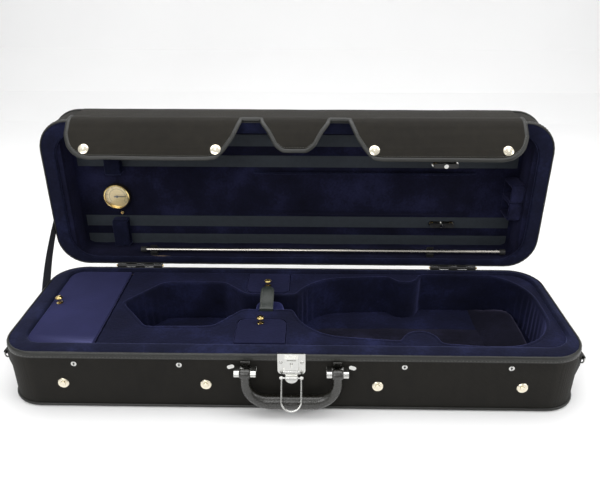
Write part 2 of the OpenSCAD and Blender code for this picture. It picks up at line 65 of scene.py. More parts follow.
def node_box(node):
    """Lowest and highest corner of a CAD node, in millimetres."""
    low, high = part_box(node)
    return Vector(low) / MM, Vector(high) / MM


def pivot(joint):
    return Vector(JOINTS[joint]["pos_m"]) / MM


# ------------------------------------------------------------------ driving sizes

BASE_HIGH = node_box("base_cover")[1]
HALF_L = BASE_HIGH.x
HALF_D = BASE_HIGH.y
CORNER_R = 48
SHELL_TOP = BASE_HIGH.z
BASE_TOP = node_box("base_top_binding")[1].z
RIM_TOP = node_box("base_rim")[1].z
BED_TOP = node_box("foam_bed")[1].z
FLOOR_TOP = node_box("cavity_floor")[1].z
TRAY = (-369, 381, -96, 110)
TRAY_RADII = (36, 36, 24, 24)

HINGE = pivot("lid_hinge")
LID_BACK = node_box("lid_cover")[1].y + HINGE.z - HINGE.y
LID_EDGE = node_box("lid_cover")[0].y + HINGE.z - HINGE.y
LID_STEP = LID_EDGE + 7
PANEL = node_box("hygrometer_case")[1].y + HINGE.z - HINGE.y
LID_RIM_IN = (-373, 373, -103, 110)
LID_IN = (-365, 365, -102, 109)

FLAP_HALF = node_box("flap_panel")[1].x
FOLD = pivot("flap_turn")
FLAP_PATH = ((0, 0.4), (-12, 0), (-20, -3), (-33, -14.5), (-46, -28.5), (-60.5, -46))
FLAP_EDGE = ((0, 304), (17, 304), (28, 311), (38, 326), (48, 336), (51, 340.1), (81, 340.1),
             (84, 336), (93, 320), (106, 304), (116, 295.5), (128, 294.2), (301, 294.2),
             (315, 296.6), (326, 302), (334, 310), (339, 322))


def opened(x, y, z):
    """A point drawn on the closed lid, where it stands on the open lid."""
    return (x, HINGE.y + z - HINGE.z, HINGE.z + HINGE.y - y)


# ------------------------------------------------------------------ material nodes

class Nodes:
    """A short way to write a material's node tree."""

    def __init__(self, name):
        self.material = bpy.data.materials.new(name)
        self.material.use_nodes = True
        self.tree = self.material.node_tree
        self.shader = self.tree.nodes["Principled BSDF"]
        self.place = self.add("ShaderNodeTexCoord").outputs["Object"]

    def add(self, kind, **settings):
        node = self.tree.nodes.new(kind)
        for key, value in settings.items():
            setattr(node, key, value)
        return node

    def link(self, source, target):
        self.tree.links.new(source, target)

    def set(self, **values):
        for key, value in values.items():
            socket = self.shader.inputs[key.replace("_", " ")]
            socket.default_value = (*value, 1) if isinstance(value, tuple) else value

    def noise(self, scale, detail=3, stretch=(1, 1, 1), rough=0.5):
        mapping = self.add("ShaderNodeMapping")
        mapping.inputs["Scale"].default_value = stretch
        self.link(self.place, mapping.inputs["Vector"])
        node = self.add("ShaderNodeTexNoise")
        node.inputs["Scale"].default_value = scale
        node.inputs["Detail"].default_value = detail
        node.inputs["Roughness"].default_value = rough
        self.link(mapping.outputs["Vector"], node.inputs["Vector"])
        return node.outputs["Fac"]

    def cells(self, scale):
        node = self.add("ShaderNodeTexVoronoi")
        node.inputs["Scale"].default_value = scale
        self.link(self.place, node.inputs["Vector"])
        return node.outputs["Distance"]

    def wave(self, direction, pitch, distortion=0.0):
        """Ribs across one axis, a pitch in millimetres apart."""
        node = self.add("ShaderNodeTexWave", wave_type="BANDS", bands_direction=direction)
        node.inputs["Scale"].default_value = 1 / (pitch * MM) / 20 * math.tau
        node.inputs["Distortion"].default_value = distortion
        self.link(self.place, node.inputs["Vector"])
        return node.outputs["Fac"]

    def math(self, operation, a, b):
        node = self.add("ShaderNodeMath", operation=operation)
        for socket, value in zip(node.inputs, (a, b)):
            if isinstance(value, (int, float)):
                socket.default_value = value
            else:
                self.link(value, socket)
        return node.outputs[0]

    def ramp(self, source, stops):
        node = self.add("ShaderNodeValToRGB")
        while len(node.color_ramp.elements) < len(stops):
            node.color_ramp.elements.new(0.5)
        for element, (at, colour) in zip(node.color_ramp.elements, stops):
            element.position = at
            element.color = (*colour, 1)
        self.link(source, node.inputs["Fac"])
        return node.outputs["Color"]

    def bump(self, source, distance, strength=1.0):
        node = self.add("ShaderNodeBump")
        node.inputs["Distance"].default_value = distance * MM
        node.inputs["Strength"].default_value = strength
        self.link(source, node.inputs["Height"])
        self.link(node.outputs["Normal"], self.shader.inputs["Normal"])

    def colour(self, source):
        self.link(source, self.shader.inputs["Base Color"])

    def roughness(self, source, low, high):
        node = self.add("ShaderNodeMapRange")
        node.inputs["To Min"].default_value = low
        node.inputs["To Max"].default_value = high
        self.link(source, node.inputs["Value"])
        self.link(node.outputs["Result"], self.shader.inputs["Roughness"])


def tint(colour, factor):
    return tuple(min(1.0, channel * factor) for channel in colour)


def velvet(name, colour, sheen, sheen_weight=0.8, nap=260, crush=1.0):
    """Pile with crushed patches: darker where it stands, lighter where it lies."""
    nodes = Nodes(name)
    patches = nodes.noise(16, 4, (1, 1, 1), 0.6)
    fibres = nodes.noise(nap, 3)
    mixed = nodes.math("ADD", nodes.math("MULTIPLY", patches, 0.75),
                       nodes.math("MULTIPLY", fibres, 0.25))
    nodes.colour(nodes.ramp(mixed, ((0.32, tint(colour, 1 - 0.5 * crush)), (0.5, colour),
                                    (0.66, tint(colour, 1 + 1.3 * crush)))))
    nodes.set(Roughness=0.92, Sheen_Weight=sheen_weight, Sheen_Roughness=0.38,
              Sheen_Tint=sheen, Specular_IOR_Level=0.12)
    nodes.bump(nodes.math("ADD", fibres, nodes.math("MULTIPLY", patches, 1.4)), 0.5, 0.7)
    return nodes.material


def canvas(name, colour, pitch=1.5):
    """Plain weave seen on any face: threads along each pair of axes, with large soft patches of
    painted sheen.
    """
    nodes = Nodes(name)
    threads = [nodes.wave(axis, pitch, 0.6) for axis in "XYZ"]
    weave = nodes.math("ADD", nodes.math("MULTIPLY", threads[0], threads[2]),
                       nodes.math("MULTIPLY", threads[1], 0.5))
    slubs = nodes.noise(90, 3, (1, 1, 0.35))
    # Painted sheen: large soft lighter and darker patches in the cloth's colour that stand in for
    # soft reflections of the lamps.
    painted_sheen = nodes.noise(7, 4)
    shade = nodes.math("ADD", nodes.math("MULTIPLY", weave, 0.3),
                       nodes.math("ADD", nodes.math("MULTIPLY", slubs, 0.35),
                                  nodes.math("MULTIPLY", painted_sheen, 0.3)))
    nodes.colour(nodes.ramp(shade, ((0.25, tint(colour, 0.55)), (0.5, colour),
                                    (0.8, tint(colour, 1.8)))))
    nodes.set(Roughness=0.82, Sheen_Weight=0.04, Sheen_Roughness=0.5, Specular_IOR_Level=0.22)
    nodes.bump(nodes.math("ADD", weave, slubs), 0.35, 0.8)
    return nodes.material


def hide(name, colour, grain, roughness, coat=0.0, depth=0.22):
    """Leather or grained vinyl: pebbles, fine creases and slightly polished high spots."""
    nodes = Nodes(name)
    pebbles = nodes.cells(grain)
    creases = nodes.noise(grain * 0.35, 4)
    height = nodes.math("ADD", pebbles, nodes.math("MULTIPLY", creases, 0.8))
    nodes.colour(nodes.ramp(nodes.noise(9, 4), ((0.3, tint(colour, 0.75)), (0.7, tint(colour, 1.4)))))
    nodes.roughness(creases, roughness - 0.08, roughness + 0.12)
    nodes.set(Coat_Weight=coat, Coat_Roughness=0.25, Specular_IOR_Level=0.5)
    nodes.bump(height, depth, 0.7)
    return nodes.material


def metal(name, colour, roughness, brushed=(1, 1, 1), relief=0.12):
    nodes = Nodes(name)
    streaks = nodes.noise(420, 2, brushed)
    smudges = nodes.noise(26, 4)
    nodes.colour(nodes.ramp(smudges, ((0.25, tint(colour, 0.9)), (0.75, tint(colour, 1.05)))))
    nodes.roughness(nodes.math("MULTIPLY", smudges, streaks), roughness - 0.03, roughness + 0.25)
    nodes.set(Metallic=1.0)
    nodes.bump(streaks, 0.01, relief)
    return nodes.material


def painted(name, colour, roughness):
    nodes = Nodes(name)
    flecks = nodes.noise(300, 3)
    nodes.colour(nodes.ramp(flecks, ((0.35, tint(colour, 0.75)), (0.7, tint(colour, 1.5)))))
    nodes.roughness(nodes.noise(30, 3), roughness - 0.06, roughness + 0.12)
    nodes.set(Specular_IOR_Level=0.5)
    nodes.bump(flecks, 0.04, 0.5)
    return nodes.material


def ribbed(name, colour, pitch, directions):
    """Grosgrain ribbon: ribs across the band and a fine selvedge variation."""
    nodes = Nodes(name)
    ribs = nodes.wave(directions, pitch, 0.3)
    yarns = nodes.noise(150, 3)
    shade = nodes.math("ADD", nodes.math("MULTIPLY", ribs, 0.6), nodes.math("MULTIPLY", yarns, 0.4))
    nodes.colour(nodes.ramp(shade, ((0.2, tint(colour, 0.6)), (0.8, tint(colour, 1.45)))))
    nodes.set(Roughness=0.68, Sheen_Weight=0.35, Sheen_Roughness=0.4, Specular_IOR_Level=0.3)
    nodes.bump(ribs, 0.3, 0.8)
    return nodes.material


def clear_glass(name):
    nodes = Nodes(name)
    smears = nodes.noise(60, 3)
    nodes.roughness(smears, 0.01, 0.06)
    nodes.set(Transmission_Weight=1.0, IOR=1.45, Base_Color=(0.96, 0.98, 1.0))
    return nodes.material


def plain_wood(name):
    nodes = Nodes(name)
    rings = nodes.noise(40, 4, (1, 12, 12))
    nodes.colour(nodes.ramp(rings, ((0.3, (0.3, 0.2, 0.11)), (0.7, (0.46, 0.34, 0.21)))))
    nodes.set(Roughness=0.7)
    nodes.bump(rings, 0.1, 0.4)
    return nodes.material


VELVET = velvet("navy_velvet", (0.0045, 0.0055, 0.019), (0.16, 0.17, 0.42), 0.6)
VELVET_LID = velvet("navy_velvet_lid", (0.0055, 0.006, 0.018), (0.14, 0.14, 0.3), 0.45)
VELVET_RIM = velvet("navy_velvet_rim", (0.0055, 0.0066, 0.02), (0.17, 0.19, 0.4), 0.55)
VELVET_PAD = velvet("velvet_pad", (0.006, 0.006, 0.014), (0.16, 0.15, 0.26), 0.5)
VELVET_PILLOW = velvet("velvet_pillow", (0.016, 0.018, 0.07), (0.25, 0.28, 0.7), 0.8)
VELVET_BOARD = velvet("velvet_board", (0.007, 0.008, 0.027), (0.19, 0.2, 0.46), 0.65, 260, 0.3)
BOARD_CLOTH = velvet("board_cloth", (0.014, 0.015, 0.052), (0.24, 0.25, 0.55), 0.8, 420, 0.2)
CANVAS = canvas("black_canvas", (0.0085, 0.0075, 0.0055))
FLAP_CANVAS = canvas("flap_canvas", (0.0115, 0.0098, 0.0068), 1.3)
VINYL = hide("binding_vinyl", (0.006, 0.0065, 0.005), 900, 0.4, 0.06)
VINYL_STRAP = hide("strap_vinyl", (0.013, 0.018, 0.015), 800, 0.36, 0.2)
VINYL_TAB = hide("tab_vinyl", (0.011, 0.011, 0.01), 800, 0.4)
LEATHER = hide("grip_leather", (0.009, 0.0085, 0.0065), 520, 0.26, 0.45, 0.3)
THREAD = ribbed("stitch_thread", (0.05, 0.05, 0.042), 0.8, "X")
BAND = ribbed("bow_band_ribbon", (0.022, 0.028, 0.036), 1.6, "X")
RIBBON = ribbed("stay_ribbon_weave", (0.008, 0.008, 0.014), 1.4, "Z")
NICKEL = metal("nickel_plate", (0.57, 0.57, 0.55), 0.15)
SNAP_NICKEL = metal("snap_nickel", (0.8, 0.74, 0.6), 0.16, relief=0.03)
BRASS = metal("polished_brass", (0.82, 0.62, 0.26), 0.16)
TUBE_METAL = metal("tube_metal", (0.54, 0.51, 0.46), 0.22, (0.05, 1, 1), 0.05)
BLACK_METAL = painted("black_steel", (0.016, 0.016, 0.016), 0.32)
RUBBER = painted("cap_rubber", (0.016, 0.016, 0.016), 0.6)
DIAL = metal("dial_gilt", (0.8, 0.62, 0.32), 0.3)
DIAL_INK = painted("dial_ink", (0.03, 0.028, 0.025), 0.5)
NEEDLE = painted("needle_lacquer", (0.02, 0.02, 0.02), 0.3)
GLASS = clear_glass("dial_glass")
WOOD = plain_wood("plywood")


# ------------------------------------------------------------------ shape helpers

def placed(name, data):
    """A new object in the scene."""
    obj = bpy.data.objects.new(name, data)
    bpy.context.scene.collection.objects.link(obj)
    return obj


CORNER_STEPS = 9
SIDE_STEPS = (10, 40)


def rounded_rect(box, radii):
    """Points round a rectangle, anticlockwise from its front right corner."""
    x0, x1, y0, y1 = box
    corners = ((x1 - radii[0], y0 + radii[0], -90), (x1 - radii[1], y1 - radii[1], 0),
               (x0 + radii[2], y1 - radii[2], 90), (x0 + radii[3], y0 + radii[3], 180))
    arcs = []
    for (cx, cy, start), radius in zip(corners, radii):
        angles = [math.radians(start + 90 * i / CORNER_STEPS) for i in range(CORNER_STEPS + 1)]
        arcs.append([(cx + radius * math.cos(a), cy + radius * math.sin(a)) for a in angles])
    points = []
    for k, arc_points in enumerate(arcs):
        following = arcs[(k + 1) % 4][0]
        points += arc_points
        steps = SIDE_STEPS[k % 2]
        for i in range(1, steps):
            points.append(tuple(a + (b - a) * i / steps
                                for a, b in zip(arc_points[-1], following)))
    return points


def case_loop(inset):
    box = (-HALF_L + inset, HALF_L - inset, -HALF_D + inset, HALF_D - inset)
    return rounded_rect(box, [CORNER_R - inset] * 4)


def inner_loop(box, radii, inset=0.0):
    x0, x1, y0, y1 = box
    return rounded_rect((x0 + inset, x1 - inset, y0 + inset, y1 - inset),
                        [max(radius - inset, 1) for radius in radii])


def between(a, b, t):
    return [(p[0] + (q[0] - p[0]) * t, p[1] + (q[1] - p[1]) * t) for p, q in zip(a, b)]


def at_height(loop, z):
    return [(x, y, z) for x, y in loop]


def arc(cx, cy, radius, start, end, steps):
    angles = [math.radians(start + (end - start) * i / steps) for i in range(steps + 1)]
    return [(cx + radius * math.cos(a), cy + radius * math.sin(a)) for a in angles]


def evenly(points, spacing, closed=True):
    """The same line with evenly spaced points."""
    line = [Vector(p) for p in points] + ([Vector(points[0])] if closed else [])
    lengths = [0.0]
    for a, b in zip(line, line[1:]):
        lengths.append(lengths[-1] + (b - a).length)
    count = max(3, round(lengths[-1] / spacing))
    result = []
    k = 0
    for i in range(count if closed else count + 1):
        target = lengths[-1] * i / count
        while k < len(lengths) - 2 and lengths[k + 1] < target:
            k += 1
        share = (target - lengths[k]) / max(lengths[k + 1] - lengths[k], 1e-9)
        result.append(tuple(line[k].lerp(line[k + 1], min(share, 1.0))))
    return result


def smoothed(points, rounds):
    """A closed line with its corners eased."""
    line = [Vector(p) for p in points]
    count = len(line)
    for _ in range(rounds):
        line = [(line[i - 1] + line[i] * 2 + line[(i + 1) % count]) / 4 for i in range(count)]
    return [tuple(p) for p in line]


def grown(points, distance):
    """A closed anticlockwise line moved outward by a distance, or by one per point."""
    count = len(points)
    moves = distance if isinstance(distance, list) else [distance] * count
    result = []
    for i in range(count):
        along = Vector(points[(i + 1) % count]) - Vector(points[i - 1])
        side = Vector((along.y, -along.x)).normalized()
        result.append(tuple(Vector(points[i]) + side * moves[i]))
    return result


def mesh_object(name, bm):
    bmesh.ops.recalc_face_normals(bm, faces=bm.faces)
    mesh = bpy.data.meshes.new(name)
    bm.to_mesh(mesh)
    bm.free()
    return placed(name, mesh)


def add_rows(bm, rows, ring=True, loop=False, caps=(False, False)):
    """Faces through rows of points: ring joins each row's ends, loop the last row to the first."""
    grid = [[bm.verts.new(Vector(p) * MM) for p in row] for row in rows]
    for a in range(len(grid) if loop else len(grid) - 1):
        lower = grid[a]
        upper = grid[(a + 1) % len(grid)]
        for i in range(len(lower) if ring else len(lower) - 1):
            j = (i + 1) % len(lower)
            bm.faces.new((lower[i], lower[j], upper[j], upper[i]))
    if caps[0]:
        bm.faces.new(grid[0])
    if caps[1]:
        bm.faces.new(grid[-1])


def loft(name, rows, **shape):
    bm = bmesh.new()
    add_rows(bm, rows, **shape)
    return mesh_object(name, bm)


def opened_rows(rows):
    return [[opened(*p) for p in row] for row in rows]


def plate(name, outlines, low, high, roll):
    """A flat solid filled between outlines, with its edges rolled over."""
    curve = bpy.data.curves.new(name, "CURVE")
    curve.dimensions = "2D"
    curve.fill_mode = "BOTH"
    curve.extrude = ((high - low) / 2 - roll) * MM
    curve.bevel_depth = roll * MM
    curve.bevel_resolution = 3
    curve.offset = -roll * MM
    for outline in outlines:
        spline = curve.splines.new("POLY")
        spline.points.add(len(outline) - 1)
        for point, (x, y) in zip(spline.points, outline):
            point.co = (x * MM, y * MM, 0, 1)
        spline.use_cyclic_u = True
    source = placed(name + "_curve", curve)
    graph = bpy.context.evaluated_depsgraph_get()
    mesh = bpy.data.meshes.new_from_object(source.evaluated_get(graph))
    bpy.data.objects.remove(source)
    for vertex in mesh.vertices:
        vertex.co.z += (low + high) / 2 * MM
    return placed(name, mesh)


def add_tube(bm, path, radii, sides=12, closed=False, flat=1.0, up=None):
    """A tube along a path; flat squashes its section along the line's up side."""
    points = [Vector(p) for p in path]
    count = len(points)
    radii = radii if isinstance(radii, (list, tuple)) else [radii] * count
    rows = []
    side_before = None
    for i, point in enumerate(points):
        if closed:
            along = points[(i + 1) % count] - points[i - 1]
        else:
            along = points[min(i + 1, count - 1)] - points[max(i - 1, 0)]
        along.normalize()
        if up is not None:
            lift = Vector(up[i] if isinstance(up, list) else up)
            side = along.cross(lift).normalized()
        elif side_before is None:
            side = along.orthogonal().normalized()
        else:
            side = (side_before - along * side_before.dot(along)).normalized()
        side_before = side
        top = side.cross(along).normalized()
        angles = [math.tau * k / sides for k in range(sides)]
        rows.append([point + side * (math.cos(a) * radii[i]) + top * (math.sin(a) * radii[i] * flat)
                     for a in angles])
    add_rows(bm, rows, loop=closed, caps=(not closed, not closed))


def tube(name, path, radii, **shape):
    bm = bmesh.new()
    add_tube(bm, path, radii, **shape)
    return mesh_object(name, bm)


def stitches(name, lines, length=3.2, gap=1.8, radius=0.42):
    """Rows of thread along lines of points, each stitch a small rounded bar."""
    bm = bmesh.new()
    for line in lines:
        dense = [Vector(p) for p in evenly(line, 1.0, closed=False)]
        step = int(length + gap)
        for start in range(0, len(dense) - int(length), step):
            a = dense[start]
            b = dense[start + int(length)]
            reach = (b - a) / 2
            path = [a, a + reach * 0.25, a + reach, b - reach * 0.25, b]
            add_tube(bm, path, [radius * 0.3, radius, radius * 1.15, radius, radius * 0.3], sides=6)
    return mesh_object(name, bm)


def ruffled(obj, amount, size, seed=0.0):
    """Small smooth unevenness, such as cloth over foam has."""
    for vertex in obj.data.vertices:
        spot = vertex.co / (size * MM) + Vector((seed, seed * 0.7, 0))
        vertex.co += vertex.normal * noise.noise(spot) * amount * MM
    return obj


def piece(obj, material, body, replaces=(), sharp=38):
    """Gives a piece its material, smooth faces and body, and hides the CAD nodes it stands for."""
    obj.data.materials.clear()
    obj.data.materials.append(material)
    for face in obj.data.polygons:
        face.use_smooth = True
    obj.data.set_sharp_from_angle(angle=math.radians(sharp))
    if body:
        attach(obj, body)
    if replaces:
        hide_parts(*replaces)
    return obj


# ------------------------------------------------------------------ camera, light, stage

CAMERA_AT = Vector((0.023, -0.779, 0.572))
CAMERA_PITCH = math.radians(26.31)
CAMERA_YAW = math.radians(-1.02)
CAMERA_LENS = 36.64


def make_camera():
    data = bpy.data.cameras.new("camera")
    data.lens = CAMERA_LENS
    data.sensor_width = 36
    data.clip_start = 0.01
    obj = placed("camera", data)
    forward = Vector((math.sin(CAMERA_YAW) * math.cos(CAMERA_PITCH),
                      math.cos(CAMERA_YAW) * math.cos(CAMERA_PITCH), -math.sin(CAMERA_PITCH)))
    right = Vector((math.cos(CAMERA_YAW), -math.sin(CAMERA_YAW), 0))
    up = right.cross(forward)
    turn = Matrix((right, up, -forward)).transposed().to_4x4()
    obj.matrix_world = Matrix.Translation(CAMERA_AT) @ turn
    bpy.context.scene.camera = obj


def area_light(name, at, aim, size, power):
    data = bpy.data.lights.new(name, "AREA")
    data.shape = "RECTANGLE"
    data.size = size[0]
    data.size_y = size[1]
    data.energy = power
    obj = placed(name, data)
    obj.location = at
    obj.rotation_euler = (Vector(aim) - Vector(at)).to_track_quat("-Z", "Y").to_euler()


def make_lights():
    area_light("sky_panel", (0, 0.3, 1.7), (0, 0, 0), (2.4, 1.6), 26)
    area_light("front_panel", (-0.7, -1.7, 1.3), (0, 0, 0.1), (1.6, 1.0), 17)
    area_light("right_panel", (1.8, -0.6, 1.1), (0, 0, 0.1), (1.0, 1.0), 9)
    world = bpy.data.worlds.new("studio")
    world.use_nodes = True
    tree = world.node_tree
    background = tree.nodes["Background"]
    place = tree.nodes.new("ShaderNodeTexCoord")
    parts = tree.nodes.new("ShaderNodeSeparateXYZ")
    sky = tree.nodes.new("ShaderNodeValToRGB")
    tree.links.new(place.outputs["Generated"], parts.inputs["Vector"])
    tree.links.new(parts.outputs["Z"], sky.inputs["Fac"])
    tree.links.new(sky.outputs["Color"], background.inputs["Color"])
    for element, (at, tone) in zip(sky.color_ramp.elements, ((0.0, 0.22), (0.75, 1.0))):
        element.position = at
        element.color = (tone, tone, tone, 1)
    background.inputs["Strength"].default_value = 0.8
    bpy.context.scene.world = world
    bpy.context.scene.view_settings.view_transform = "Standard"


def make_stage():
    """A pale floor that curves up into a pale backdrop."""
    rows = []
    for y, z in ((-6000, 0), (1400, 0), (1700, 45), (1900, 180), (2000, 420), (2000, 3200)):
        rows.append([(x, y, z) for x in (-6000, 0, 6000)])
    floor = loft("studio_floor", rows, ring=False)
    nodes = Nodes("studio_paint")
    tone = nodes.noise(1.2, 2)
    nodes.colour(nodes.ramp(tone, ((0.3, (0.86, 0.86, 0.86)), (0.7, (0.9, 0.9, 0.9)))))
    nodes.set(Roughness=0.9, Specular_IOR_Level=0.1)
    floor.data.materials.append(nodes.material)


# ------------------------------------------------------------------ base, outside

def base_canvas():
    profile = ((14, 0.4), (5, 0.4), (1.6, 1.2), (0.3, 3.5), (0, 8), (0, 26), (0, 45), (0, 64),
               (0, SHELL_TOP + 0.5))
    rows = [at_height(case_loop(inset), z) for inset, z in profile]
    shell = ruffled(loft("base_canvas", rows, caps=(True, False)), 0.35, 60)
    piece(shell, CANVAS, "base", ("base_cover", "base_bottom_sheet"))
    cord_line = at_height(case_loop(-0.2), 3.2)
    welt = tube("base_piping", cord_line, 2.1, closed=True)
    piece(welt, VINYL, "base")


def binding_stitches(name, loop, z, body, opening=False):
    line = [(x, y, z) for x, y in loop + loop[:1]]
    if opening:
        line = [opened(*p) for p in line]
    piece(stitches(name, [line]), THREAD, body)


def base_binding():
    top = BASE_TOP
    profile = ((0.4, SHELL_TOP - 0.6), (-0.5, SHELL_TOP - 0.2), (-0.75, SHELL_TOP + 3),
               (-0.6, top - 2.4), (0.1, top - 0.9), (1.0, top - 0.1), (2.0, top + 0.1),
               (2.8, top - 0.3), (3.1, top - 1.4), (3.1, top - 3))
    rows = [at_height(case_loop(inset), z) for inset, z in profile]
    piece(ruffled(loft("base_edge_binding", rows), 0.25, 25), VINYL, "base",
          ("base_top_binding",))
    binding_stitches("base_binding_stitches", case_loop(-0.75), SHELL_TOP + 2.2, "base")


def rim_velvet():
    outer = case_loop(3.2)
    inner = inner_loop(TRAY, TRAY_RADII)
    rows = [at_height(case_loop(2.6), RIM_TOP - 2.4), at_height(case_loop(2.9), RIM_TOP - 0.4)]
    for share, lift in ((0.1, 0.2), (0.3, 0.5), (0.55, 0.7), (0.75, 0.6)):
        rows.append(at_height(between(outer, inner, share), RIM_TOP + lift))
    for inset, z in ((-3.2, RIM_TOP + 0.4), (-1.5, RIM_TOP - 0.1), (-0.4, RIM_TOP - 1.2),
                     (0, RIM_TOP - 2.8), (0.3, BED_TOP), (-0.5, BED_TOP - 3)):
        rows.append(at_height(inner_loop(TRAY, TRAY_RADII, inset), z))
    piece(ruffled(loft("rim_velvet", rows), 0.5, 22, 3), VELVET_RIM, "base", ("base_rim",))


# ------------------------------------------------------------------ base, the bed

def violin_outline():
    """The well's edge: head well, neck slot, upper bout, waist pads and lower bout."""
    line = [(-259, 12), (-211, -50), (-116, -48), (-77, -2), (-0.1, -2)]
    line += arc(82, 10, 83, 188.3, 270, 14)
    line += arc(178, -82, 27, 175.8, -6.3, 12)
    line += [(262, -91)]
    line += arc(288, -11, 80, 270, 360, 12)
    line += arc(288, 31, 80, 0, 90, 12)
    line += [(262, 111)]
    line += arc(178, 107, 27, 0, -160.6, 12)
    line += [(150, 98)]
    line += arc(82, 10, 83, 90, 159.6, 12)
    line += [(-77, 39), (-115, 75), (-210, 73)]
    inside = [(x, min(max(y, -91.5), 105.5)) for x, y in line]
    return smoothed(evenly(inside, 3.0), 6)


def pleated(x, y):
    """How deep the velvet is gathered on the well's wall, from 0 to 1."""
    head_end = max(0.0, 1 - abs(x + 235) / 45)
    upper_end = max(0.0, 1 - math.hypot(x - 8, y - 60) / 60)
    lower_end = max(0.0, 1 - math.hypot(x - 345, y - 60) / 110)
    return min(1.0, head_end + upper_end + lower_end)


def well_lining():
    edge = violin_outline()
    profile = ((5.2, BED_TOP + 0.1), (3.8, BED_TOP + 0.8), (2.2, BED_TOP + 1.1),
               (0.7, BED_TOP + 0.6), (-0.3, BED_TOP - 0.9), (-0.5, BED_TOP - 3),
               (-0.4, BED_TOP - 8), (-0.4, 68), (-0.5, 58), (-0.6, 48), (-0.6, 38), (-0.8, 29),
               (-1, FLOOR_TOP + 2), (-0.2, FLOOR_TOP - 0.5))
    rows = []
    for k, (out, z) in enumerate(profile):
        fall = min(1.0, max(0.0, (BED_TOP - 2 - z) / 18))
        moves = []
        for i, (x, y) in enumerate(edge):
            ripple = 0.5 + 0.5 * math.sin(i * 1.45 + 1.3 * noise.noise(Vector((i * 0.11, 0, 4))))
            wander = noise.noise(Vector((x / 40, y / 40, z / 28)))
            moves.append(out - fall * (pleated(x, y) * 2.1 * ripple + 0.7 * wander)
                         + (0.35 * wander if k < 5 else 0))
        rows.append(at_height(grown(edge, moves), z))
    return loft("well_lining", rows)


def compartment(name, recess, well, floor):
    """Ledge for a lid, walls and floor of one compartment."""
    radii = (3, 3, 6, 6)
    rows = [at_height(inner_loop(recess, radii), BED_TOP - 0.6),
            at_height(inner_loop(recess, radii), BED_TOP - 4.2),
            at_height(inner_loop(recess, radii, 1), BED_TOP - 4.6),
            at_height(inner_loop(well, radii, -1), BED_TOP - 4.6),
            at_height(inner_loop(well, radii), BED_TOP - 6),
            at_height(inner_loop(well, radii), (BED_TOP + floor) / 2),
            at_height(inner_loop(well, radii, 0.6), floor + 2),
            at_height(inner_loop(well, radii, 4), floor + 0.6)]
    obj = ruffled(loft(name, rows, caps=(False, True)), 0.5, 26, 5)
    piece(obj, VELVET, "base")


BIG_BOARD = (-368.5, -272, -95.5, 109.5)
FRONT_BOARD = (-80, -10, -90, -29)
REAR_BOARD = (-76, -9, 46, 106)


def cut_corners(box, cut, side):
    """A board's outline with two eased corners on one side: left, rear or front."""
    radii = {"left": (1.5, 1.5, cut, cut), "rear": (1.5, cut, cut, 1.5),
             "front": (cut, 1.5, 1.5, cut)}[side]
    return rounded_rect(box, radii)


def recess_of(box):
    x0, x1, y0, y1 = box
    return (x0 - 1.2, x1 + 1.2, y0 - 1.2, y1 + 1.2)


def bed_velvet():
    outer = rounded_rect((-268.5, TRAY[1] - 0.2, TRAY[2] + 0.2, TRAY[3] - 0.2), (36, 36, 2, 2))
    holes = [grown(violin_outline(), 2.6), cut_corners(recess_of(FRONT_BOARD), 13, "rear"),
             cut_corners(recess_of(REAR_BOARD), 13, "front")]
    top = plate("bed_velvet", [outer] + holes, BED_TOP - 4.4, BED_TOP + 0.1, 1.0)
    piece(top, VELVET, "base", ("foam_bed",), 60)
    piece(well_lining(), VELVET, "base", ("cbout_pads",), 70)
    compartment("large_compartment_lining", (-368.9, -268.6, -95.9, 109.9),
                (-358, -284, -84, 98), 16)
    compartment("front_compartment_lining", recess_of(FRONT_BOARD), (-72, -18, -80, -38), 30)
    compartment("rear_compartment_lining", recess_of(REAR_BOARD), (-68, -17, 54, 98), 30)


def well_floor():
    base = plate("well_floor", [grown(violin_outline(), 0.4)], FLOOR_TOP - 4, FLOOR_TOP, 1.0)
    piece(base, VELVET, "base", ("cavity_floor",), 60)
    rows = []
    for x in range(12, 341, 8):
        taper = min(1.0, (x - 8) / 40, (346 - x) / 30)
        middle = 8 + 2 * math.sin(x / 70)
        half = 36 + 8 * x / 340
        row = []
        for k in range(13):
            across = -1 + k / 6
            crown = (1 - abs(across) ** 3) * 2.6 * taper
            row.append((x, middle + half * across, FLOOR_TOP - 0.4 + crown))
        rows.append(row)
    strip = ruffled(loft("floor_strip", rows, ring=False), 0.6, 30, 7)
    piece(strip, VELVET_PAD, "base", (), 70)


def end_wedge():
    """Sloping pad under the violin's lower end."""
    low, high = node_box("end_pad")
    rows = []
    for x, top in ((290, 0.2), (294, 3), (304, 7), (316, 12), (328, 17), (338, 20.5),
                   (344, 21.5), (349, 19), (352, 8), (352.5, 0.2)):
        reach = min(18 + math.sqrt(6400 - (x - 288) ** 2), (high.y - low.y) / 2 + 8)
        row = []
        for k in range(17):
            across = -1 + k / 8
            crown = (1 - abs(across) ** 6) ** 0.5
            row.append((x, 10 + reach * across, FLOOR_TOP + top * (0.15 + 0.85 * crown)))
        rows.append(row)
    pad = ruffled(loft("end_wedge", rows, ring=False), 0.8, 24, 9)
    piece(pad, VELVET_PAD, "base", ("end_pad",), 70)


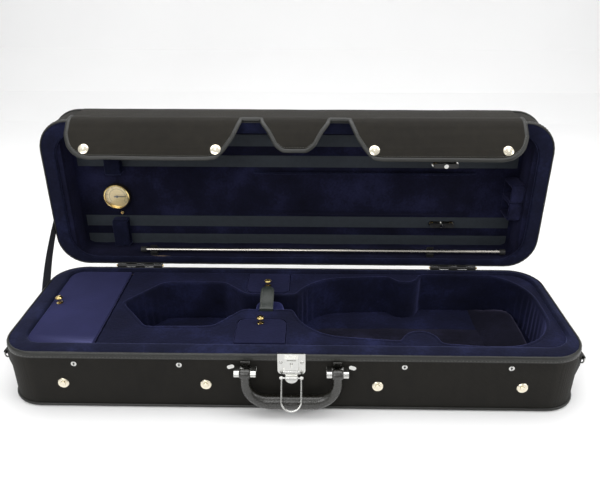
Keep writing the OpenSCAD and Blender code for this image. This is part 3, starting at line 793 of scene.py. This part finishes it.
def pillow():
    """Padded block with a trough for the violin's neck."""
    low, high = node_box("neck_pillow")
    rows = []
    for k in range(17):
        along = -1 + k / 8
        y = (low.y + high.y) / 2 + along * (high.y - low.y) / 2
        edge = (1 - abs(along) ** 7) ** 0.5
        trough = 7.0 * math.exp(-(along * 1.5) ** 2)
        row = []
        for i in range(33):
            turn = math.pi * i / 32
            x = math.cos(turn)
            z = math.sin(turn)
            flat_x = math.copysign(abs(x) ** 0.45, x)
            flat_z = z ** 0.42
            height = (high.z - trough * flat_z - low.z) * (0.72 + 0.28 * edge)
            row.append(((low.x + high.x) / 2 + flat_x * (high.x - low.x) / 2 * (0.9 + 0.1 * edge),
                        y, low.z + height * flat_z))
        rows.append(row)
    pad = ruffled(loft("neck_pillow_velvet", rows, ring=False, caps=(True, True)), 0.6, 14, 2)
    piece(pad, VELVET_PILLOW, "base", ("neck_pillow",), 70)


def boards():
    """The three compartment lids, covered in cloth or velvet."""
    for name, box, cut, side, material, slot, node in (
            ("large_board_cloth", BIG_BOARD, 20, "left", BOARD_CLOTH, "board_cloth",
             "compartment_lid"),
            ("front_board_velvet", FRONT_BOARD, 12, "rear", VELVET_BOARD, "velvet_board",
             "front_box_lid"),
            ("rear_board_velvet", REAR_BOARD, 12, "front", VELVET_BOARD, "velvet_board",
             "rear_box_lid")):
        low, high = node_box(node)
        x0, x1, y0, y1 = box
        outline = cut_corners((x0 + 0.3, x1 - 0.3, y0 + 0.3, y1 - 0.3), cut, side)
        obj = ruffled(plate(name, [outline], low.z, high.z + 0.5, 1.6), 0.2, 20)
        piece(obj, material, node, (node,), 60)


def strap():
    """Neck strap: a curl at its root and a springy tongue with a rounded end."""
    root = pivot("neck_strap_turn")
    line = [(-2.0, -1.6), (-1.2, 1.2), (2, 2.6), (8, 3.6), (16, 6.6), (26, 10.2), (34, 12.9),
            (39, 14), (42.5, 14.4)]
    upper = []
    lower = []
    for k, (y, z) in enumerate(line):
        half = 10.0 if k < len(line) - 2 else (8.6, 4.5)[k - len(line) + 2]
        across = [(-1 + i / 4) for i in range(9)]
        upper.append([(root.x + half * a, root.y + y, root.z + z + 1.0 - 0.6 * a * a)
                      for a in across])
        lower.append([(root.x + half * a, root.y + y, root.z + z - 0.7) for a in across])
    rows = [top + under[::-1] for top, under in zip(upper, lower)]
    obj = loft("neck_strap_vinyl", rows, caps=(True, True))
    piece(obj, VINYL_STRAP, "neck_strap", ("neck_strap",), 50)
    lines = [[Vector(row[index]) + Vector((0, 0, 0.15)) for row in upper[2:-1]]
             for index in (1, 7)]
    piece(stitches("neck_strap_stitches", lines, 2.4, 1.4, 0.3), THREAD, "neck_strap")


# ------------------------------------------------------------------ front hardware and ends

HANDLE_PIN_HALF = 14.5


def grip():
    """Leather handle: two legs, two bends and a thicker hand grip."""
    axis = pivot("handle_swing")
    thickest = 10.2
    half = node_box("handle_pins")[1].x - HANDLE_PIN_HALF
    drop = axis.z - node_box("handle_grip")[0].z - thickest
    bend = 31
    path = [(-half, 0, 0), (-half, 0, -3), (-half, 0, bend - drop)]
    path += [(-half + bend - bend * math.cos(a), 0, bend - drop - bend * math.sin(a))
             for a in (math.radians(d) for d in range(9, 91, 9))]
    left = [Vector(p) for p in path]
    bar = [Vector((-half + bend + (half - bend) * 2 * t / 8, 0, -drop)) for t in range(1, 8)]
    right = [Vector((-p.x, p.y, p.z)) for p in reversed(left)]
    line = evenly([tuple(p) for p in left + bar + right], 3, closed=False)
    radii = []
    for x, _, z in line:
        thick = 6.4 + 3.8 * max(0.0, min(1.0, (half + 2 - abs(x)) / 34)) ** 0.8
        radii.append(min(thick, 10.1) * (1 + 0.015 * noise.noise(Vector((x / 9, z / 9, 2)))))
    path3 = [axis + Vector(p) for p in line]
    bm = bmesh.new()
    add_tube(bm, path3, radii, sides=20, up=(0, -1, 0), flat=0.93)
    for side in (-1, 1):
        ends = [axis + Vector((side * half + t, 0, 0)) for t in (-7.3, -6.6, -4, 0, 4, 6.6, 7.3)]
        add_tube(bm, ends, [5.4, 6.4, 6.7, 6.7, 6.7, 6.4, 5.4], sides=20)
    obj = mesh_object("grip_leather", bm)
    piece(obj, LEATHER, "handle", ("handle_grip",), 60)
    seam = [point + Vector((0, -radius * 0.66, radius * 0.74)) for point, radius
            in zip(path3, radii) if abs(point.x) < half - bend + 8]
    piece(stitches("grip_stitches", [seam], 2.6, 1.6, 0.4), THREAD, "handle")


def ring_tabs():
    """Stiff tabs that stand out from the end walls, each with a loop for its ring."""
    ring = pivot("ring_right_swing")
    profile = ((0, -33), (4.2, -32.6), (5.3, -31), (9.2, -13), (9.4, -3.2), (8.8, 0), (9.2, 3.4),
               (8, 6.7), (0, 6.7))
    bm = bmesh.new()
    lines = []
    for side in (-1, 1):
        rows = []
        for across, share in ((-7.7, 0.9), (-7.3, 0.97), (-6.5, 1), (6.5, 1), (7.3, 0.97),
                              (7.7, 0.9)):
            rows.append([(side * (HALF_L + x * share), ring.y + across, ring.z + z * share)
                         for x, z in profile])
        add_rows(bm, rows, caps=(True, True))
        across = (-7.4, -6.6, 6.6, 7.4)
        turns = [math.radians(angle) for angle in range(-140, 141, 20)]
        shell = [[(side * (ring.x + 3.1 * math.cos(a)), ring.y + y, ring.z + 3.1 * math.sin(a))
                  for y in across] for a in turns]
        shell += [[(side * (ring.x + 1.9 * math.cos(a)), ring.y + y, ring.z + 1.9 * math.sin(a))
                   for y in across] for a in reversed(turns)]
        add_rows(bm, shell, ring=False, loop=True)
        for y in (ring.y - 5.2, ring.y + 5.2):
            lines.append([(side * (HALF_L + x), y, ring.z + z)
                          for x, z in ((6, -29.5), (9.5, -12.6), (9.7, -5))])
    piece(mesh_object("ring_tabs_vinyl", bm), VINYL_TAB, "base", ("d_ring_tabs",), 45)
    piece(stitches("ring_tab_stitches", lines, 2, 1.2, 0.32), THREAD, "base")


def ribbon_stay():
    """Loose ribbon that stops the lid, twisted between its two sewn ends."""
    low, high = node_box("stay_ribbon")
    x = -HALF_L - 1.6
    start = Vector((x, low.y + 10, low.z + 8))
    end = Vector((x, high.y - 9, high.z - 6))
    steps = 28
    rows = []
    for k in range(steps + 1):
        t = k / steps
        swell = math.sin(math.pi * t)
        centre = start.lerp(end, t) + Vector((-2.2 * swell, -3 * swell, -2 * swell))
        twist = math.radians(8 + 42 * (1 - t))
        across = Vector((math.sin(twist) * 0.8, math.cos(twist), -math.cos(twist) * 0.55))
        across.normalize()
        half = 7.0
        row = [centre + across * (half * s / 3) + Vector((-0.35 * (1 - (s / 3) ** 2), 0, 0))
               for s in range(-3, 4)]
        rows.append(row)
    obj = loft("stay_ribbon_cloth", rows, ring=False)
    solid = obj.modifiers.new("thickness", "SOLIDIFY")
    solid.thickness = 0.7 * MM
    piece(obj, RIBBON, None, ("stay_ribbon",), 70)
    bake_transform(obj)


# ------------------------------------------------------------------ lid

def lid_canvas():
    back = LID_BACK
    profile = ((0, LID_EDGE + 8.2), (0, LID_EDGE + 24), (0, LID_EDGE + 42), (0, back - 9),
               (0.3, back - 4), (1.6, back - 1.2), (5, back - 0.3), (14, back - 0.1), (40, back))
    rows = opened_rows([at_height(case_loop(inset), z) for inset, z in profile])
    shell = ruffled(loft("lid_canvas", rows, caps=(False, True)), 0.35, 60, 2)
    piece(shell, CANVAS, "lid", ("lid_cover",))
    line = [opened(*p) for p in at_height(case_loop(-0.2), back - 3.4)]
    piece(tube("lid_piping", line, 2.1, closed=True), VINYL, "lid")


def lid_binding():
    edge = LID_EDGE
    profile = ((2.7, edge + 3), (2.5, edge + 1.3), (1.9, edge + 0.5), (0.9, edge + 0.4),
               (0, edge + 1.2), (-0.6, edge + 3), (-0.75, edge + 6.5),
               (-0.5, edge + 8.9), (0.4, edge + 9.3))
    rows = opened_rows([at_height(case_loop(inset), z) for inset, z in profile])
    piece(ruffled(loft("lid_edge_binding", rows), 0.25, 25, 1), VINYL, "lid")
    binding_stitches("lid_binding_stitches", case_loop(-0.75), edge + 6.8, "lid", True)


def lid_rim():
    radii = (40, 40, 40, 40)
    inner = inner_loop(LID_RIM_IN, radii)
    edge = LID_EDGE
    rows = [at_height(case_loop(2.2), edge + 2.6), at_height(case_loop(2.5), edge + 1.1)]
    for share, lift in ((0.2, 0.7), (0.5, 0.5), (0.8, 0.6)):
        rows.append(at_height(between(case_loop(3), inner, share), edge + lift))
    for inset, z in ((-1.2, 0.9), (-0.3, 1.8), (0, 3), (0.1, 5.5), (-0.4, 7.4)):
        rows.append(at_height(inner_loop(LID_RIM_IN, radii, inset), edge + z))
    obj = ruffled(loft("lid_rim_velvet", opened_rows(rows)), 0.35, 22, 6)
    piece(obj, VELVET_RIM, "lid", ("lid_rim",))


def lid_lining():
    rim = inner_loop(LID_RIM_IN, (40, 40, 40, 40), -1)
    radii = (16, 16, 16, 16)
    rows = [at_height(rim, LID_STEP - 0.4)]
    for inset, z in ((-0.4, LID_STEP - 0.2), (0, LID_STEP + 1), (0, LID_STEP + 12),
                     (0, LID_STEP + 24), (0, PANEL - 8), (0.3, PANEL - 3), (1.6, PANEL - 0.8),
                     (5, PANEL), (20, PANEL)):
        rows.append(at_height(inner_loop(LID_IN, radii, inset), z))
    obj = ruffled(loft("lid_lining_velvet", opened_rows(rows), caps=(False, True)), 0.4, 30, 8)
    piece(obj, VELVET_LID, "lid", ("lid_lining",), 60)


BAND_Y = (-87, -52, 55, 89)
BAND_W = 20


def bow_bands():
    """Four ribbon bands along the back panel, slightly slack."""
    bm = bmesh.new()
    for y0 in BAND_Y:
        rows = []
        for x in range(-360, 361, 9):
            slack = 0.5 * noise.noise(Vector((x / 60, y0, 3)))
            top = PANEL - 0.7
            rows.append([(x, y0 + 0.2, PANEL + 0.1), (x, y0 + 0.4, top + 0.1 + slack * 0.2),
                         (x, y0 + 5, top + slack * 0.5), (x, y0 + 10, top - 0.1 + slack * 0.6),
                         (x, y0 + 15, top + slack * 0.5), (x, y0 + BAND_W - 0.4, top + 0.1),
                         (x, y0 + BAND_W - 0.2, PANEL + 0.1)])
        add_rows(bm, opened_rows(rows), ring=False)
    obj = mesh_object("bow_band_ribbons", bm)
    piece(obj, BAND, "lid", ("bow_bands",), 60)


def pocket():
    """Flat sheet-music pocket with a gathered, elasticated mouth."""
    low, high = node_box("music_pocket")
    y0 = HINGE.z + HINGE.y - high.z
    y1 = HINGE.z + HINGE.y - low.z
    depth = high.y - low.y
    rows = []
    for i in range(24):
        v = i / 23
        row = []
        for k in range(75):
            u = k / 74
            crown = (1 - abs(2 * u - 1) ** 10) * min(1.0, (1 - v) * 9)
            gather = 0.6 * math.sin(k * 1.9) * max(0.0, 1 - v * 6)
            z = PANEL - depth * (0.84 + 0.1 * math.sin(math.pi * u)) * crown - 0.2 + gather * 0.5
            row.append(opened(low.x + (high.x - low.x) * u, y0 + (y1 - y0) * v, z))
        rows.append(row)
    obj = ruffled(loft("pocket_cloth", rows, ring=False), 0.5, 40, 4)
    piece(obj, VELVET_LID, "lid", ("music_pocket",), 70)
    hem = []
    for k in range(120):
        u = k / 119
        swell = (1 - abs(2 * u - 1) ** 10)
        hem.append(opened(low.x + 2 + (high.x - low.x - 4) * u, y0 + 1.2,
                          PANEL - 0.6 - (depth * 0.86 - 0.6) * swell))
    radii = [1.5 + 0.3 * math.sin(k * 1.7) for k in range(120)]
    piece(tube("pocket_hem", hem, radii, sides=10), VELVET_RIM, "lid")


def hollow(bm, box, depth, mouth, wall, inner_depth):
    """A soft box on the back panel, open towards one end along X."""
    x0, x1, y0, y1 = box
    closed_x, open_x = (x0, x1) if mouth > 0 else (x1, x0)
    step = 1 if mouth > 0 else -1
    radius = 4.5

    def section(x, inset):
        loop = inner_loop((y0, y1, PANEL - depth, PANEL + 3), (radius, 1.5, 1.5, radius), inset)
        return [opened(x, y, z) for y, z in loop]

    length = abs(x1 - x0)
    rows = [section(closed_x, 3.0), section(closed_x + step * 0.8, 1.0),
            section(closed_x + step * 2.5, 0.0), section(closed_x + step * length * 0.5, -0.3),
            section(open_x - step * 1.5, 0.0), section(open_x - step * 0.4, 0.6),
            section(open_x, 1.8), section(open_x - step * 0.5, wall - 0.5),
            section(open_x - step * 2, wall), section(open_x - step * inner_depth, wall + 0.4)]
    add_rows(bm, rows, caps=(True, True))


def lid_pockets():
    """Pairs of pockets: for the bows' frogs on the left, and for their tips on the right."""
    frogs = [(-312, -286, 58, 106), (-312, -286, -99, -22)]
    tips = [(343, LID_IN[1], -17, 13), (343, LID_IN[1], 13, 43)]
    for name, boxes, shape, soft, material, node in (
            ("frog_pockets", frogs, (18, 1, 4.2, 22), (0.5, 12, 3), VELVET_RIM, "frog_holders"),
            ("bow_tip_pockets", tips, (42, -1, 5, 15), (0.4, 14, 5), VELVET_LID,
             "bow_tip_block")):
        bm = bmesh.new()
        for box in boxes:
            hollow(bm, box, *shape)
        obj = ruffled(mesh_object(name, bm), *soft)
        piece(obj, material, "lid", (node,), 60)


def dial_marks():
    """Plain scale: ticks round the dial and a printed arc, no lettering."""
    low, high = node_box("hygrometer_dial")
    centre = (low + high) / 2
    face = low.y - 0.06
    outer = (high.x - low.x) / 2 - 1.4
    bm = bmesh.new()

    def spot(angle, radius):
        return (centre.x + radius * math.sin(angle), face, centre.z + radius * math.cos(angle))

    for k in range(51):
        angle = math.radians(260 * k / 50 - 130)
        length = 3.4 if k % 10 == 0 else 2.2 if k % 5 == 0 else 1.3
        half = math.radians(0.9 if k % 5 == 0 else 0.5)
        corners = [spot(angle - half, outer), spot(angle + half, outer),
                   spot(angle + half, outer - length), spot(angle - half, outer - length)]
        bm.faces.new([bm.verts.new(Vector(p) * MM) for p in corners])
    arc_rows = [[spot(math.radians(260 * k / 60 - 130), r) for k in range(61)]
                for r in (outer - 4.6, outer - 5.0)]
    add_rows(bm, arc_rows, ring=False)
    piece(mesh_object("dial_marks", bm), DIAL_INK, "lid")


# ------------------------------------------------------------------ flap

def flap_point(x, along):
    """A point on the flap: along runs from 0 at the fold to 1 at the full drop."""
    lengths = [0.0]
    for a, b in zip(FLAP_PATH, FLAP_PATH[1:]):
        lengths.append(lengths[-1] + math.dist(a, b))
    target = along * lengths[-1]
    k = max(i for i in range(len(lengths) - 1) if lengths[i] <= target + 1e-9)
    share = (target - lengths[k]) / (lengths[k + 1] - lengths[k])
    a = FLAP_PATH[k]
    b = FLAP_PATH[k + 1]
    y = a[0] + (b[0] - a[0]) * share
    z = a[1] + (b[1] - a[1]) * share
    sway = 1.1 * noise.noise(Vector((x / 55, 1.5, 0))) * along
    return Vector((x, FOLD.y + y + sway, FOLD.z + z + 0.5 * sway))


def flap_reach(x):
    """How far down the flap's cloth goes at this place, from 0 to 1."""
    x = abs(x)
    edge = FLAP_EDGE[-1][1]
    for (xa, za), (xb, zb) in zip(FLAP_EDGE, FLAP_EDGE[1:]):
        if xa <= x <= xb:
            edge = za + (zb - za) * (x - xa) / (xb - xa)
            break
    low = 0.0
    high = 1.0
    for _ in range(24):
        middle = (low + high) / 2
        if flap_point(x, middle).z > edge:
            low = middle
        else:
            high = middle
    return max(low, 0.02)


def flap_columns():
    xs = [x for x in range(0, 335, 3)] + [336.5, FLAP_HALF]
    return [-x for x in reversed(xs[1:])] + xs


def flap():
    columns = flap_columns()
    reach = [flap_reach(x) for x in columns]
    rows = []
    for k in range(15):
        rows.append([flap_point(x, r * k / 14) for x, r in zip(columns, reach)])
    cloth = loft("flap_cloth", rows, ring=False)
    solid = cloth.modifiers.new("thickness", "SOLIDIFY")
    solid.thickness = 2.0 * MM
    solid.offset = 0
    piece(cloth, FLAP_CANVAS, "flap", ("flap_panel",), 70)

    edge = [flap_point(x, r) for x, r in zip(columns, reach)]
    left = [flap_point(-FLAP_HALF, t / 6 * reach[0]) for t in range(6)]
    right = [flap_point(FLAP_HALF, (5 - t) / 6 * reach[-1]) for t in range(6)]
    border = [Vector(p) for p in evenly([tuple(p) for p in left + edge + right], 3, closed=False)]
    tilt = Vector((0, -0.75, 0.66))
    bm = bmesh.new()
    add_tube(bm, border, 3.5, sides=12, flat=0.52, up=tilt)
    trim = mesh_object("flap_binding", bm)
    piece(trim, VINYL, "flap")
    inner = [flap_point(x, max(r - 0.05, 0.01)) + tilt * 1.9 for x, r in zip(columns, reach)]
    keep = [p for p, x in zip(inner, columns) if not 44 < abs(x) < 88]
    runs = [[p for p in keep if p.x < -60], [p for p in keep if abs(p.x) < 60],
            [p for p in keep if p.x > 60]]
    piece(stitches("flap_stitches", runs, 3, 1.8, 0.42), THREAD, "flap")


def flap_back():
    """The flap's sewn root on the lid's wall, and the roll of its fold."""
    low, high = node_box("flap_root")
    rows = []
    for y, z in ((high.y, low.z + 0.4), (high.y, high.z - 1), (high.y - 1.5, high.z + 0.2),
                 (high.y - 20, high.z + 0.7), (low.y + 14, high.z + 0.7), (low.y + 4, high.z + 0.6),
                 (low.y - 1, high.z + 0.4)):
        rows.append([(x, y, z) for x in [-FLAP_HALF, -FLAP_HALF + 3] +
                     list(range(-330, 331, 10)) + [FLAP_HALF - 3, FLAP_HALF]])
    obj = ruffled(loft("flap_back", rows, ring=False), 0.5, 45, 5)
    piece(obj, FLAP_CANVAS, "lid", ("flap_root",), 60)
    path = [(x, FOLD.y, FOLD.z - 0.2) for x in range(-336, 337, 8)]
    roll = tube("flap_fold_roll", path, 1.7, sides=12)
    piece(roll, FLAP_CANVAS, "flap", ("flap_fold_strip",), 70)


# ------------------------------------------------------------------ CAD nodes that stay

# Nodes whose looks come straight from the CAD: material, eased edge in mm, names
KEPT = (
    (WOOD, 0, ("base_shell", "lid_shell")),
    (BLACK_METAL, 0.3, ("hinge_base_leaves", "hinge_lid_leaves")),
    (BRASS, 0.2, ("hinge_pins", "lid_screws")),
    (NICKEL, 0.4, ("lock_plate",)),
    (NICKEL, 0.5, ("lock_cover", "handle_brackets", "lock_lever")),
    (NICKEL, 0, ("lock_screws", "side_rivets", "lock_bail", "d_ring_left", "d_ring_right")),
    (NICKEL, 0.3, ("handle_pins", "lid_catch")),
    (SNAP_NICKEL, 0, ("snap_sockets", "flap_snaps")),
    (NICKEL, 0.25, ("spinner_plates",)),
    (BRASS, 0.25, ("hygrometer_case",)),
    (DIAL, 0, ("hygrometer_dial",)),
    (GLASS, 0, ("hygrometer_glass",)),
    (NEEDLE, 0, ("hygrometer_needle",)),
    (BLACK_METAL, 0.2, ("tube_clips",)),
    (BRASS, 0.15, ("compartment_knob", "front_box_knob", "rear_box_knob")),
    (NICKEL, 0.2, ("bail_pin",)),
    (BLACK_METAL, 0.4, ("spinner_upper", "spinner_lower")),
    (TUBE_METAL, 0.1, ("string_tube",)),
    (RUBBER, 0.4, ("tube_cap_left", "tube_cap_right")),
)


def dress_cad_nodes():
    for material, ease, names in KEPT:
        for name in names:
            obj = frame["nodes"][name]
            if not obj.material_slots:
                obj.data.materials.append(None)
            for slot in obj.material_slots:
                slot.link = "OBJECT"
                slot.material = material
            if ease:
                rounding = obj.modifiers.new("eased_edges", "BEVEL")
                rounding.width = ease * MM
                rounding.segments = 2
                rounding.limit_method = "ANGLE"
                rounding.angle_limit = math.radians(40)


make_camera()
make_lights()
make_stage()
base_canvas()
base_binding()
rim_velvet()
bed_velvet()
well_floor()
end_wedge()
pillow()
boards()
strap()
grip()
ring_tabs()
lid_canvas()
lid_binding()
lid_rim()
lid_lining()
bow_bands()
pocket()
lid_pockets()
dial_marks()
flap_back()
flap()
ribbon_stay()
dress_cad_nodes()
